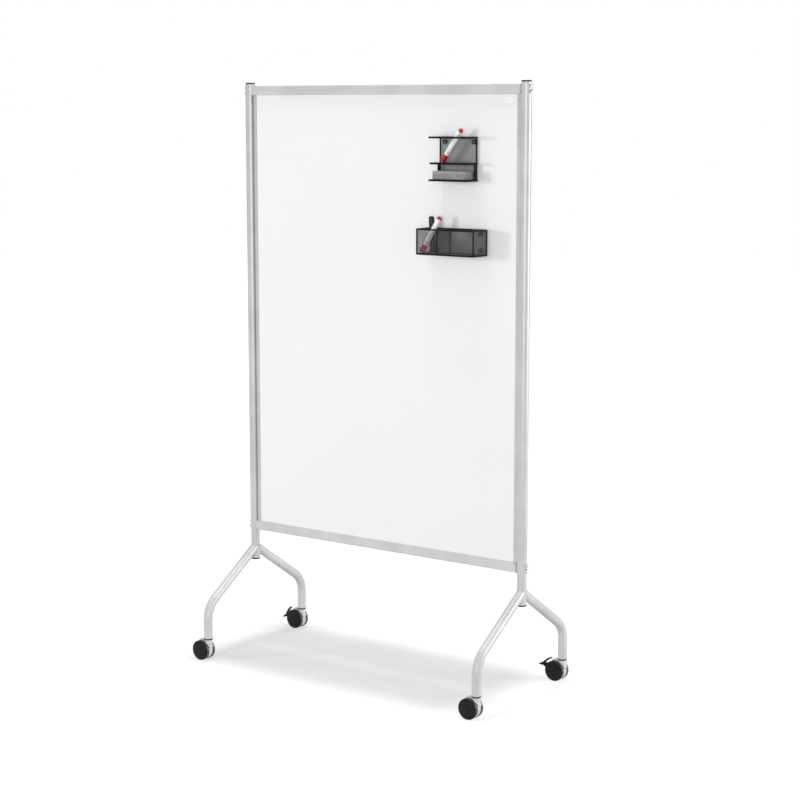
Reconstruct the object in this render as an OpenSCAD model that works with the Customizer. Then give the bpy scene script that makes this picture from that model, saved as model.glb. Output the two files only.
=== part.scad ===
// Rolling whiteboard: a double-sided magnetic writing board held between two
// round uprights, each standing on an inverted-Y pair of bent tube legs with
// hooded twin-wheel casters, and two magnetic organizers on the front face.
// Millimetres, +Z up, -Y is the front, origin on the floor at the centre of
// the overall footprint.

/* [Uprights] */
// Distance between the axes of the two uprights
post_spacing = 1035; // [900:1:1250]
// Height of the top of the upright caps above the floor
overall_h = 1828.8; // [1790:0.1:1900]
// Height of the lowest point of the caps under the uprights
upright_low = 287.5; // [270:0.5:295]
// Outside diameter of the upright tube
tube_d = 28.6; // [27:0.1:29]
// Wall of the upright tube
tube_wall = 1.5; // [1:0.1:2.5]
// Height of the rounded end caps outside the tube
cap_h = 4.5; // [3:0.1:6]

/* [Board frame] */
// Height of the top face of the top rail
board_top = 1819; // [1760:0.5:1822]
// Height of the underside of the bottom rail
board_low = 388.7; // [370:0.1:450]
// Height of each rail
rail_h = 29.2; // [27:0.1:34]
// Front-to-back size of each rail
rail_d = 24.4; // [20:0.1:27]
// Wall of the rails
rail_wall = 1.2; // [0.8:0.1:2]
// Outside diameter of the round side profiles
sleeve_d = 31.75; // [31.5:0.05:34]
// Inside diameter of the round side profiles
sleeve_bore = 29.35; // [29.2:0.05:29.8]
// Reach of the board-edge channel from the upright axis
channel_reach = 28; // [24:0.5:36]
// Thickness of the board panel with both sheets
panel_t = 6; // [5:0.1:8]
// Thickness of each steel writing sheet
sheet_t = 0.5; // [0.4:0.05:0.8]
// Height between the two bolts of each corner
bolt_pitch = 15.6; // [13:0.1:16]
// Diameter of the bolt shanks
bolt_d = 6; // [5:0.5:6]
// Diameter of the bolt heads
bolt_head_d = 12.5; // [10:0.1:13]

/* [Legs] */
// Outside diameter of the leg tubes
leg_d = 28.6; // [26:0.1:28.6]
// Wall of the leg tubes
leg_wall = 1.5; // [1:0.1:2]
// Height where the leg centrelines meet the upright axis
leg_top = 330; // [320:1:345]
// Slope of the legs below the horizontal
leg_slope = 33.6; // [28:0.1:38]
// Distance of the vertical leg ends from the board plane
leg_y = 237; // [220:1:260]
// Centreline radius of the leg bends
leg_bend = 77; // [60:1:90]
// Height of the lower ends of the leg tubes
leg_low = 71.5; // [70:0.5:75]

/* [Casters] */
// Wheel diameter
wheel_d = 63.5; // [60:0.5:64]
// Overall width over both wheels
wheel_span = 42; // [40:0.5:44]
// Clear width between the two wheels
wheel_gap = 16; // [15:0.5:17]
// Offset of the axle behind the stem
trail = 20; // [18:0.5:22]
// Axle diameter
axle_d = 6; // [5:0.5:7]
// Stem diameter
stem_d = 11; // [10:0.5:12]
// Angle the pressed brake lever has turned
brake_angle = 20; // [14:1:20]

/* [Upper organizer] */
// Left edge of the upper organizer, from the board centre
shelf_x0 = 221; // [-440:1:260]
// Width of the upper organizer
shelf_w = 134; // [130:1:150]
// Top of the top shelf
shelf_top = 1667.5; // [1200:0.5:1740]
// Height of the upper organizer
shelf_h = 130; // [128:0.5:136]
// Front-to-back size of the shelves
shelf_deep = 60; // [58:1:70]
// Diameter of the marker holes in the top shelf
marker_hole_d = 23; // [21.5:0.5:23]

/* [Lower organizer] */
// Left edge of the lower organizer, from the board centre
tray_x0 = 185.5; // [-440:0.5:200]
// Width of the lower organizer
tray_w = 206; // [190:1:230]
// Top of the lower organizer
tray_top = 1399; // [700:0.5:1500]
// Height of the lower organizer
tray_h = 78; // [74:0.5:90]
// Front-to-back size of the lower organizer
tray_deep = 74; // [68:0.5:80]
// Distance of the divider from the left edge
divider_x = 74.5; // [74:0.5:90]

/* [Hidden] */

$fn = 64;
eps = 0.05;
post_x = post_spacing / 2;
wheel_r = wheel_d / 2;
// The levers reach further to the left than the bolt heads do to the right,
// so everything is moved to centre the footprint on the origin.
lever_reach = trail + 60.1;
bolt_head_h = 4.7;
shift_x = (lever_reach - (sleeve_d / 2 + bolt_head_h)) / 2;

top_rail_z = board_top - rail_h;
low_rail_z = board_low + rail_h;
rail_x = post_x - 17.5;
panel_x = post_x - 17.6;
panel_z0 = board_low + 11;
panel_z1 = board_top - 13;
slot_t = panel_t + 0.4;

silver = [0.76, 0.76, 0.75];
black = [0.10, 0.10, 0.11];
white = [0.96, 0.96, 0.97];
red = [0.74, 0.05, 0.12];

module place() { translate([shift_x, 0, 0]) children(); }
// Left (-1) or right (+1) upright position; local +X points outwards.
module at_post(s) { place() translate([s * post_x, 0, 0]) mirror([s < 0 ? 1 : 0, 0, 0]) children(); }
// Axis along Y
module ycyl(r, h) { rotate([90, 0, 0]) cylinder(r = r, h = h, center = true); }
// Axis along X from x0 to x1
module xcyl(r, x0, x1) { translate([x0, 0, 0]) rotate([0, 90, 0]) cylinder(r = r, h = x1 - x0); }
// Wire between two points on one axis
module rod(a, b, d) {
  v = b - a; l = norm(v);
  translate(a) rotate([0, acos(v[2] / l), atan2(v[1], v[0])]) cylinder(d = d, h = l, $fn = 24);
}
module ball(p, d) { translate(p) sphere(d = d, $fn = 24); }
module rounded(w, h, r) {
  translate([r - w / 2, -h / 2]) square([w - 2 * r, h]);
  translate([-w / 2, r - h / 2]) square([w, h - 2 * r]);
  for (i = [-1, 1], j = [-1, 1]) translate([i * (w / 2 - r), j * (h / 2 - r)]) circle(r = r);
}

bolt_z = [for (c = [(board_top + top_rail_z) / 2, (board_low + low_rail_z) / 2], k = [-1, 1]) c + k * bolt_pitch / 2];

// ---- uprights ----
module upright_tube(s) {
  color(silver) at_post(s) difference() {
    translate([0, 0, upright_low + cap_h]) cylinder(d = tube_d, h = overall_h - upright_low - 2 * cap_h);
    translate([0, 0, upright_low]) cylinder(d = tube_d - 2 * tube_wall, h = overall_h - upright_low);
    for (z = bolt_z) translate([0, 0, z]) xcyl(bolt_d / 2 + 0.2, -20, 20);
  }
}
module left_upright_tube() { upright_tube(-1); }
module right_upright_tube() { upright_tube(1); }

// Round profile with a thin channel that grips the panel's edge
module side_profile(s) {
  color(silver) at_post(s) difference() {
    union() {
      translate([0, 0, board_low]) cylinder(d = sleeve_d, h = board_top - board_low);
      translate([-channel_reach, -slot_t / 2 - 1, low_rail_z + 0.3])
        cube([channel_reach - 12, slot_t + 2, top_rail_z - low_rail_z - 0.6]);
    }
    translate([0, 0, board_low - 1]) cylinder(d = sleeve_bore, h = board_top - board_low + 2);
    translate([-channel_reach - 1, -slot_t / 2, low_rail_z - 1])
      cube([channel_reach - 15.6, slot_t, top_rail_z - low_rail_z + 2]);
    for (z = bolt_z) translate([0, 0, z]) xcyl(bolt_d / 2 + 0.2, -20, 20);
  }
}
module left_side_profile() { side_profile(-1); }
module right_side_profile() { side_profile(1); }

// Plugs that close both ends of both tubes: a stem in the bore, a rounded head
module end_cap() {
  rotate_extrude() polygon(concat(
    [[0, -8], [tube_d / 2 - tube_wall - 0.6, -8], [tube_d / 2 - tube_wall - 0.1, -6], [tube_d / 2 - tube_wall - 0.1, 0],
     [tube_d / 2 + 0.3, 0], [tube_d / 2 + 0.4, 1.2]],
    [for (i = [0 : 6]) let (t = i * 15) [tube_d / 2 - 2.2 + 2.6 * cos(t), cap_h - 2 + 2 * sin(t)]],
    [[0, cap_h]]));
}
module upright_end_caps() {
  color(black) for (s = [-1, 1]) at_post(s) {
    translate([0, 0, overall_h - cap_h]) end_cap();
    translate([0, 0, upright_low + cap_h]) mirror([0, 0, 1]) end_cap();
  }
}

// ---- rails ----
// Hollow rounded section, open along the side that holds the panel
module rail_section() {
  difference() {
    rounded(rail_d, rail_h, 3);
    rounded(rail_d - 2 * rail_wall, rail_h - 2 * rail_wall, 1.8);
    translate([-slot_t / 2, -rail_h]) square([slot_t, rail_h]);
  }
}
module rail() { rotate([90, 0, 90]) linear_extrude(height = 2 * rail_x, center = true) rail_section(); }
module top_rail() { color(silver) place() translate([0, 0, board_top - rail_h / 2]) rail(); }
module bottom_rail() { color(silver) place() translate([0, 0, board_low + rail_h / 2]) mirror([0, 0, 1]) rail(); }

// End piece of a rail: a saddle against the round profile and a plug inside
// the rail that both bolts screw into
module end_bracket() {
  difference() {
    union() {
      translate([-17.4, 0, 0]) rotate([90, 0, 90]) linear_extrude(height = 6) rounded(rail_d + 0.5, rail_h + 0.5, 3.2);
      translate([-17.5 - 26, -(rail_d / 2 - rail_wall - 0.2), 2.5 - rail_h / 2]) cube([26.5, rail_d - 2 * rail_wall - 0.4, rail_h - 5]);
    }
    // nothing but the plug beyond the rail's end
    translate([-60, 0, 0]) difference() {
      translate([0, -30, -30]) cube([42.5, 60, 60]);
      translate([-1, -(rail_d / 2 - rail_wall - 0.2), 2.5 - rail_h / 2]) cube([60, rail_d - 2 * rail_wall - 0.4, rail_h - 5]);
    }
    // saddle
    translate([0, 0, -40]) cylinder(d = sleeve_d + 0.2, h = 80);
    // flat front and rear corners of the saddle
    translate([-12.4, -30, -30]) cube([40, 60, 60]);
    for (k = [-1, 1]) translate([0, 0, k * bolt_pitch / 2]) xcyl(bolt_d / 2 + 0.02, -40, 0);
  }
}
module rail_end_brackets() {
  color([0.70, 0.70, 0.69]) for (s = [-1, 1], t = [0, 1]) at_post(s)
    translate([0, 0, t ? board_top - rail_h / 2 : board_low + rail_h / 2]) end_bracket();
}
// Button-head screws through the profile and the tube into the end pieces
module button_bolt() {
  rotate([0, -90, 0]) {
    cylinder(d = bolt_d, h = 54);
    difference() {
      translate([0, 0, -bolt_head_h]) rotate_extrude() polygon(concat(
        [[0, bolt_head_h], [bolt_head_d / 2, bolt_head_h], [bolt_head_d / 2, bolt_head_h - 1]],
        [for (i = [1 : 6]) let (t = i * 12) [bolt_head_d / 2 * cos(t), (bolt_head_h - 1) * (1 - sin(t) / sin(72))]],
        [[0, 0]]));
      translate([0, 0, -bolt_head_h - 1]) cylinder(d = 4.6, h = 3.4, $fn = 6);
    }
  }
}
module rail_bolts() {
  color([0.72, 0.73, 0.74]) for (s = [-1, 1], z = bolt_z) at_post(s) translate([sleeve_d / 2, 0, z]) difference() {
    button_bolt();
    // the head sits on the round profile
    translate([-sleeve_d / 2, 0, -20]) difference() {
      translate([0, 0, 0]) cylinder(d = sleeve_d + 0.04, h = 40);
      translate([0, 0, 20]) xcyl(bolt_d / 2, -60, 40);
    }
  }
}

// ---- panel ----
// One layer of the panel, with its corners notched round the end pieces
module panel_layer(y, t) {
  place() translate([0, y, 0]) difference() {
    translate([-panel_x, 0, panel_z0]) cube([2 * panel_x, t, panel_z1 - panel_z0]);
    for (s = [-1, 1]) translate([s * (post_x - 22) - 23, -1, 0]) {
      translate([0, 0, top_rail_z + 0.6]) cube([46, 20, 60]);
      translate([0, 0, low_rail_z - 0.6 - 60]) cube([46, 20, 60]);
    }
  }
}
module panel_core() { color([0.80, 0.78, 0.72]) panel_layer(-panel_t / 2 + sheet_t, panel_t - 2 * sheet_t); }
module front_writing_sheet() { color(white) panel_layer(-panel_t / 2, sheet_t); }
module back_writing_sheet() { color(white) panel_layer(panel_t / 2 - sheet_t, sheet_t); }
module corner_badge() {
  color([0.86, 0.85, 0.80]) place() translate([459, -panel_t / 2, 1772.5]) rotate([90, 0, 0])
    linear_extrude(height = 0.6) rounded(36, 17.5, 8);
}

// ---- legs ----
bend_turn = 90 - leg_slope;
bend_tan = leg_bend * tan(bend_turn / 2);
bend_z = leg_top - leg_y * tan(leg_slope) - bend_tan;
// Straight, bend, straight; the straights run 1 mm into the bend and are a
// hair thinner (k = -1) or wider (k = 1) than it
module leg_path(d, over, k) {
  e = k * 0.1;
  translate([0, 0, leg_top]) rotate([-(90 + leg_slope), 0, 0]) cylinder(d = d + e, h = leg_y / cos(leg_slope) - bend_tan + 1);
  translate([0, leg_y - leg_bend, bend_z]) rotate([90, 0, 90]) rotate_extrude(angle = bend_turn)
    translate([leg_bend, 0]) circle(d = d);
  translate([0, leg_y, leg_low - over]) cylinder(d = d + e, h = bend_z - leg_low + over + 1);
}
module leg(s, t) {
  color(silver) at_post(s) mirror([0, t < 0 ? 1 : 0, 0]) difference() {
    leg_path(leg_d, 0, -1);
    leg_path(leg_d - 2 * leg_wall, 1, 1);
    // notched to sit against the upright
    translate([0, 0, leg_top - 60]) cylinder(r = tube_d / 2 + eps, h = 120);
  }
}
module left_front_leg() { leg(-1, -1); }
module left_rear_leg() { leg(-1, 1); }
module right_front_leg() { leg(1, -1); }
module right_rear_leg() { leg(1, 1); }

// ---- casters ----
module at_corner(s, t) { place() translate([s * post_x, t * leg_y, 0]) children(); }
module at_axle(s, t) { at_corner(s, t) translate([-trail, 0, wheel_r]) children(); }
socket_low = 67;
module caster_sockets() {
  color(black) for (s = [-1, 1], t = [-1, 1]) at_corner(s, t) difference() {
    union() {
      translate([0, 0, leg_low - 1]) cylinder(d = leg_d - 2 * leg_wall - 0.2, h = 36);
      translate([0, 0, socket_low]) rotate_extrude() polygon([
        [0, 0], [12.6, 0], [13.6, 0.5], [leg_d / 2 + 0.4, 2.2], [leg_d / 2 + 0.4, leg_low - socket_low], [0, leg_low - socket_low]]);
    }
    translate([0, 0, socket_low - 1]) cylinder(d = stem_d + 0.06, h = 60);
  }
}
module caster_stems() {
  color([0.6, 0.6, 0.62]) for (s = [-1, 1], t = [-1, 1]) at_corner(s, t) {
    translate([0, 0, 39]) cylinder(d = stem_d, h = 62);
    translate([0, 0, 100.9]) cylinder(d1 = stem_d, d2 = stem_d - 3, h = 2.5);
  }
}

hood_w = wheel_gap - 1;
// Sector of a ring about the axle, from angle a0 over a turn a
module ring_sector(r0, r1, w, a0, a) {
  rotate([0, -a0, 0]) rotate([90, 0, 0]) rotate_extrude(angle = a) translate([r0, -w / 2]) square([r1 - r0, w]);
}
lever_px = -19;
lever_pz = 14;
module hood_body(brake) {
  difference() {
    union() {
      ycyl(30.4, hood_w);
      ring_sector(20, 35, hood_w - 0.6, 18, 94);
      ring_sector(wheel_r - 1, 35.4, 20, 26, 82);
      translate([trail, 0, 8]) cylinder(d = 24, h = 66.4 - wheel_r - 8);
    }
    for (k = [-1, 1]) translate([0, k * (hood_w / 2 + 15.05), 0]) ycyl(wheel_r + 0.75, 30);
    // flat underside, clear of the floor
    translate([-60, -30, -60]) cube([120, 60, 37]);
    translate([trail, 0, 6]) cylinder(d = stem_d + 0.1, h = 60);
    ycyl(axle_d / 2 + 0.01, 60);
    if (brake) {
      translate([-60, -3.9, -4]) cube([46.5, 7.8, 60]);
      translate([lever_px, 0, lever_pz]) ycyl(2.01, 60);
    }
  }
}
module hood(s, t) { color([0.82, 0.83, 0.84]) at_axle(s, t) hood_body(t > 0); }
module front_left_hood() { hood(-1, -1); }
module front_right_hood() { hood(1, -1); }
module rear_left_hood() { hood(-1, 1); }
module rear_right_hood() { hood(1, 1); }

axle_half = wheel_gap / 2 + 9.2;
module axle(s, t) { color([0.6, 0.6, 0.62]) at_axle(s, t) ycyl(axle_d / 2, 2 * axle_half); }
module front_left_axle() { axle(-1, -1); }
module front_right_axle() { axle(1, -1); }
module rear_left_axle() { axle(-1, 1); }
module rear_right_axle() { axle(1, 1); }

wheel_w = (wheel_span - wheel_gap) / 2;
// Domed wheel, hollow on its inner side round the hub; +Z is outwards
module wheel_body() {
  rotate_extrude($fn = 96) polygon(concat(
    [[axle_d / 2 + 0.05, 0], [8, 0], [8, wheel_w - 4.4], [wheel_r - 5.5, wheel_w - 5.6], [wheel_r - 3.6, wheel_w - 7], [wheel_r - 3.6, 0.4],
     [wheel_r - 0.7, 0.4], [wheel_r, 1.1], [wheel_r, wheel_w - 3.6]],
    [for (i = [1 : 5]) let (t = i * 15) [wheel_r - 1.8 + 1.8 * cos(t), wheel_w - 3.6 + 1.8 * sin(t)]],
    [for (i = [1 : 7]) let (q = 1 - i / 7) [(wheel_r - 1.6) * q, wheel_w - 1.75 * q * q]],
    [[0, wheel_w - 3.2], [axle_d / 2 + 0.05, wheel_w - 3.2]]));
}
// k = -1 faces the front, +1 the rear
module wheel(s, t, k) {
  color([0.12, 0.12, 0.13]) at_axle(s, t) translate([0, k * wheel_gap / 2, 0]) rotate([-90 * k, 0, 0]) wheel_body();
}
module front_left_wheel_outer() { wheel(-1, -1, -1); }
module front_left_wheel_inner() { wheel(-1, -1, 1); }
module front_right_wheel_outer() { wheel(1, -1, -1); }
module front_right_wheel_inner() { wheel(1, -1, 1); }
module rear_left_wheel_outer() { wheel(-1, 1, -1); }
module rear_left_wheel_inner() { wheel(-1, 1, 1); }
module rear_right_wheel_outer() { wheel(1, 1, -1); }
module rear_right_wheel_inner() { wheel(1, 1, 1); }

// Brake lever drawn released, about the axle: arm on the pivot, curved blade,
// foot pedal and a cross shoe that meets both treads when pressed
module xz_plate(w) { rotate([90, 0, 0]) linear_extrude(height = w, center = true) children(); }
module lever_body() {
  difference() {
    union() {
      translate([lever_px, 0, lever_pz]) ycyl(4.6, 7);
      xz_plate(7) polygon([[-19, 18.6], [-19, 9.4], [-30, 7.5], [-46, 8.5], [-46.6, 14.5], [-33, 17.5]]);
      xz_plate(9) polygon([[-18.2, 34.4], [-19, 36.4], [-21.2, 37], [-31.6, 32.4], [-44.4, 22], [-48.6, 15.6], [-43, 12.6], [-39.8, 18.2], [-29.6, 27.2], [-20.4, 32.6]]);
      xz_plate(17) polygon([[-44.2, 16.6], [-44.4, 8.6], [-50.5, 8.9], [-55.6, 10], [-59.4, 9.6], [-60.1, 10.6], [-58.6, 13.2], [-54, 15.6], [-49.4, 16.4]]);
      xz_plate(24) polygon([[-33, 13], [-33.4, 7.4], [-36.4, 6.2], [-39.6, 7.6], [-40, 13]]);
    }
    translate([lever_px, 0, lever_pz]) ycyl(2.05, 60);
    // clear of the wheels when pressed, half pressed and released
    for (a = [0, 0.5, 1]) translate([lever_px, 0, lever_pz]) rotate([0, brake_angle * a, 0])
      translate([-lever_px, 0, -lever_pz]) for (k = [-1, 1]) translate([0, k * (3.9 + 15), 0])
        ycyl(wheel_r + 0.4, 30);
  }
}
module brake_lever(s, pressed) {
  color(black) at_axle(s, 1) translate([lever_px, 0, lever_pz]) rotate([0, -pressed, 0]) translate([-lever_px, 0, -lever_pz]) lever_body();
}
module rear_left_brake_lever() { brake_lever(-1, brake_angle); }
module rear_right_brake_lever() { brake_lever(1, 0); }
module brake_pin(s) { color([0.6, 0.6, 0.62]) at_axle(s, 1) translate([lever_px, 0, lever_pz]) ycyl(2, hood_w); }
module rear_left_brake_pin() { brake_pin(-1); }
module rear_right_brake_pin() { brake_pin(1); }

// ---- upper organizer ----
sheet_y = -panel_t / 2;
mag_face = sheet_y - 0.1;
wire = 5;
back_y = sheet_y - 2.6 - wire / 2;
sx0 = shelf_x0 + wire / 2;
sx1 = shelf_x0 + shelf_w - wire / 2;
sz1 = shelf_top - wire / 2;
sz0 = shelf_top - shelf_h + wire / 2;
mid_z = shelf_top - 75.7;
low_z = shelf_top - 124.5;
module wire_loop(p, d) {
  for (i = [0 : len(p) - 1]) { rod(p[i], p[(i + 1) % len(p)], d); ball(p[i], d); }
}
// Uprights and cross wire of the back, and the low side guards of the eraser bay
module shelf_back_frame() {
  color(black) place() difference() {
    union() {
      for (x = [sx0, sx1]) rod([x, back_y, low_z - 2.75], [x, back_y, shelf_top - 5.6], wire);
      for (x = [sx0, sx1]) translate([x - 0.8, back_y - 13.5, low_z + 0.1]) cube([1.6, 13.5, mid_z - low_z - 5.8]);
    }
    // seats for the tiers
    for (z = [low_z, mid_z]) translate([shelf_x0 - 1, back_y - 40, z - 5.6]) cube([shelf_w + 2, 60, 5.7]);
  }
}
mag_x = [shelf_x0 + 18.5, shelf_x0 + shelf_w - 12.5];
mag_z = [shelf_top - 110, shelf_top - 15.8];
module shelf_back_mesh() {
  color([0.45, 0.44, 0.47]) place() difference() {
    for (zz = [[low_z + 0.3, mid_z - 5.9], [mid_z + 0.3, shelf_top - 5.8]])
      translate([sx0 + wire / 2 + 0.1, back_y - 0.3, zz[0]]) cube([sx1 - sx0 - wire - 0.2, 0.6, zz[1] - zz[0]]);
    for (x = mag_x, z = mag_z) translate([x, 0, z]) ycyl(4.6, 60);
  }
}
// Magnets riveted through the mesh: a disc behind it, a stub and a rolled ring in front
module magnet(depth) {
  rotate([90, 0, 0]) difference() {
    union() {
      cylinder(d = 14, h = 4.6);
      cylinder(d = 8.8, h = depth);
      translate([0, 0, depth - 1.5]) cylinder(d = 13.6, h = 1.5);
    }
    translate([0, 0, 1]) cylinder(d = 5, h = depth);
  }
}
module shelf_magnets() {
  color([0.18, 0.17, 0.18]) place() for (x = mag_x, z = mag_z) translate([x, mag_face, z]) magnet(6.85);
}
// A shelf: a rimmed plate whose top is flush, with optional marker holes
module tier(z, d, holes) {
  translate([shelf_x0, sheet_y - 2.6 - d, z - 5.5]) difference() {
    cube([shelf_w, d, 5.5]);
    translate([2, 2, -1]) cube([shelf_w - 4, d - 4, 5.3]);
    if (holes) for (i = [0 : 3]) translate([shelf_w - 25 - i * 28.5, d / 2, 0]) cylinder(d = marker_hole_d, h = 20);
  }
}
module shelf_top_tier() { color(black) place() tier(shelf_top, shelf_deep, true); }
module shelf_middle_tier() { color(black) place() tier(mid_z, shelf_deep - 6, false); }
module shelf_bottom_tier() { color(black) place() tier(low_z, shelf_deep, false); }

// ---- eraser ----
er_x0 = shelf_x0 + 8;
er_w = 118;
er_y0 = sheet_y - 57;
er_d = 48;
er_z0 = low_z + 0.1;
module eraser_block(z0, h, in) {
  translate([er_x0 + er_w / 2, er_y0 + er_d / 2, z0]) linear_extrude(height = h) rounded(er_w - 2 * in, er_d - 2 * in, 5 - in);
}
module eraser_felt() { color([0.52, 0.51, 0.49]) place() eraser_block(er_z0, 14, 0); }
module eraser_body() { color([0.56, 0.55, 0.52]) place() eraser_block(er_z0 + 14, 10.4, 0.8); }

// ---- markers ----
mk_d = 15.6;
mk_cap_d = 16.4;
// Marker standing on its cap end, +Z towards the tail: lengths l, cap c, plug p
module mk_cap(c) {
  rotate_extrude($fn = 48) polygon([[0, 0], [mk_cap_d / 2 - 1.2, 0], [mk_cap_d / 2 - 0.3, 0.5], [mk_cap_d / 2, 1.6], [mk_cap_d / 2, c], [0, c]]);
}
module mk_barrel(c, l, p) {
  rotate_extrude($fn = 48) polygon([[0, c], [mk_d / 2, c], [mk_d / 2, l - p], [0, l - p]]);
}
module mk_plug(l, p) {
  rotate_extrude($fn = 48) polygon(concat([[0, l - p], [mk_d / 2 - 0.2, l - p], [mk_d / 2 - 0.2, l - p + 3]],
    [for (i = [1 : 5]) let (t = i * 15) [(mk_d / 2 - 0.2) * cos(t), l - p + 3 + (p - 3) * sin(t)]], [[0, l]]));
}
module at_marker(e, tilt) { place() translate(e) rotate(tilt) children(); }

m1_e = [shelf_x0 + 29.4, sheet_y - 2.6 - shelf_deep / 2, mid_z + 4.4];
m1_t = [0, 36, 0];
m1_l = 116; m1_c = 23; m1_p = 10;
module shelf_marker_barrel() { color(white) at_marker(m1_e, m1_t) mk_barrel(m1_c, m1_l, m1_p); }
module shelf_marker_cap() { color(red) at_marker(m1_e, m1_t) mk_cap(m1_c); }
module shelf_marker_plug() { color(red) at_marker(m1_e, m1_t) mk_plug(m1_l, m1_p); }

// ---- lower organizer ----
tx0 = tray_x0 + wire / 2;
tx1 = tray_x0 + tray_w - wire / 2;
ty1 = sheet_y - 2.6 - wire / 2;
ty0 = sheet_y - 2.6 - tray_deep + wire / 2;
tz0 = tray_top - tray_h + wire / 2;
tz1 = tray_top - wire / 2;
td = tray_x0 + divider_x;
module tray_frame() {
  color(black) place() {
    for (z = [tz0, tz1]) wire_loop([[tx0, ty0, z], [tx1, ty0, z], [tx1, ty1, z], [tx0, ty1, z]], wire);
    for (x = [tx0, tx1], y = [ty0, ty1]) rod([x, y, tz0], [x, y, tz1], wire);
    for (z = [tz0, tz1]) rod([td, ty0, z], [td, ty1, z], wire);
    for (y = [ty0, ty1]) rod([td, y, tz0], [td, y, tz1], wire);
  }
}
g = wire / 2 + 0.1;
tmag_x = [tray_x0 + 28.5, tray_x0 + tray_w - 24.5];
tmag_z = [tz0 + 12.5, tz1 - 11];
module tray_basket() {
  color([0.36, 0.36, 0.38]) place() difference() {
    union() {
      for (xx = [[tx0, td], [td, tx1]]) {
        for (y = [ty0, ty1]) translate([xx[0] + g, y - 0.3, tz0 + g]) cube([xx[1] - xx[0] - 2 * g, 0.6, tz1 - tz0 - 2 * g]);
        translate([xx[0] + g, ty0 + g, tz0 - 0.3]) cube([xx[1] - xx[0] - 2 * g, ty1 - ty0 - 2 * g, 0.6]);
      }
      for (x = [tx0, tx1]) translate([x - 0.3, ty0 + g, tz0 + g]) cube([0.6, ty1 - ty0 - 2 * g, tz1 - tz0 - 2 * g]);
    }
    for (x = tmag_x, z = tmag_z) translate([x, ty1, z]) ycyl(4.6, 20);
  }
}
module tray_divider() {
  color([0.30, 0.30, 0.32]) place() translate([td - 0.3, ty0 + g, tz0 + g]) cube([0.6, ty1 - ty0 - 2 * g, tz1 - tz0 - 2 * g]);
}
module tray_magnets() {
  color([0.18, 0.17, 0.18]) place() for (x = tmag_x, z = tmag_z) translate([x, mag_face, z]) magnet(6.85);
}

m2_e = [tray_x0 + 12.5, ty0 + 9.5, tz0 + 4.2];
m2_t = [-15.1, 23.7, 0];
m2_l = 119; m2_c = 24; m2_p = 10;
module red_marker_barrel() { color(white) at_marker(m2_e, m2_t) mk_barrel(m2_c, m2_l, m2_p); }
module red_marker_cap() { color(red) at_marker(m2_e, m2_t) mk_cap(m2_c); }
module red_marker_plug() { color(red) at_marker(m2_e, m2_t) mk_plug(m2_l, m2_p); }

m3_e = [tray_x0 + 24.5, ty1 - 16, tz0 + 1.2];
m3_t = [0, -4, 0];
m3_l = 108.5; m3_c = 36;
module black_marker_barrel() {
  color([0.13, 0.13, 0.14]) at_marker(m3_e, m3_t) rotate_extrude($fn = 48)
    polygon([[0, 0], [mk_d / 2 - 1.5, 0], [mk_d / 2, 1.5], [mk_d / 2, m3_l - m3_c], [0, m3_l - m3_c]]);
}
module black_marker_cap() {
  color(black) at_marker(m3_e, m3_t) translate([0, 0, m3_l]) mirror([0, 0, 1]) mk_cap(m3_c);
}

left_upright_tube();
right_upright_tube();
left_side_profile();
right_side_profile();
top_rail();
bottom_rail();
rail_end_brackets();
rail_bolts();
upright_end_caps();
left_front_leg();
left_rear_leg();
right_front_leg();
right_rear_leg();
panel_core();
front_writing_sheet();
back_writing_sheet();
corner_badge();
caster_sockets();
caster_stems();
front_left_hood();
front_right_hood();
rear_left_hood();
rear_right_hood();
front_left_axle();
front_right_axle();
rear_left_axle();
rear_right_axle();
front_left_wheel_outer();
front_left_wheel_inner();
front_right_wheel_outer();
front_right_wheel_inner();
rear_left_wheel_outer();
rear_left_wheel_inner();
rear_right_wheel_outer();
rear_right_wheel_inner();
rear_left_brake_lever();
rear_right_brake_lever();
rear_left_brake_pin();
rear_right_brake_pin();
shelf_back_frame();
shelf_back_mesh();
shelf_top_tier();
shelf_middle_tier();
shelf_bottom_tier();
shelf_magnets();
eraser_body();
eraser_felt();
shelf_marker_barrel();
shelf_marker_cap();
shelf_marker_plug();
tray_frame();
tray_basket();
tray_divider();
tray_magnets();
red_marker_barrel();
red_marker_cap();
red_marker_plug();
black_marker_barrel();
black_marker_cap();
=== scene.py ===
import math

import bmesh
import bpy
from mathutils import Matrix, Vector

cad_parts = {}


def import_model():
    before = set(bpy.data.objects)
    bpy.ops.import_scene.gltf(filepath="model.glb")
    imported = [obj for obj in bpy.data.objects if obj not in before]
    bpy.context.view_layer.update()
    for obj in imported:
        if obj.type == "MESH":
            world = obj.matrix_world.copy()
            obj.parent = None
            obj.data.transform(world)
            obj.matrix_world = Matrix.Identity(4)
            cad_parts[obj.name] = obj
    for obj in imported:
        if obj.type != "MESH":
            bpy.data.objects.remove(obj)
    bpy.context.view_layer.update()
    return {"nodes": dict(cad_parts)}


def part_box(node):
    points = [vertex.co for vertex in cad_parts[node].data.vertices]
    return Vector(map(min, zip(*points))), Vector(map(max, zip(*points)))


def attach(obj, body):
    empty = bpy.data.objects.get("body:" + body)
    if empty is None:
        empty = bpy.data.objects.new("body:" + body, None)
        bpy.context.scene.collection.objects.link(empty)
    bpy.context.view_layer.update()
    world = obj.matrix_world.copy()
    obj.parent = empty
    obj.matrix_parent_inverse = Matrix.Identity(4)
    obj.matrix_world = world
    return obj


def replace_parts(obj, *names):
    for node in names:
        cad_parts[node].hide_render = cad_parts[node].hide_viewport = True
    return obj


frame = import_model()
N = frame["nodes"]
MM = 0.001


def V(x, y, z):
    return Vector((x, y, z))


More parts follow.
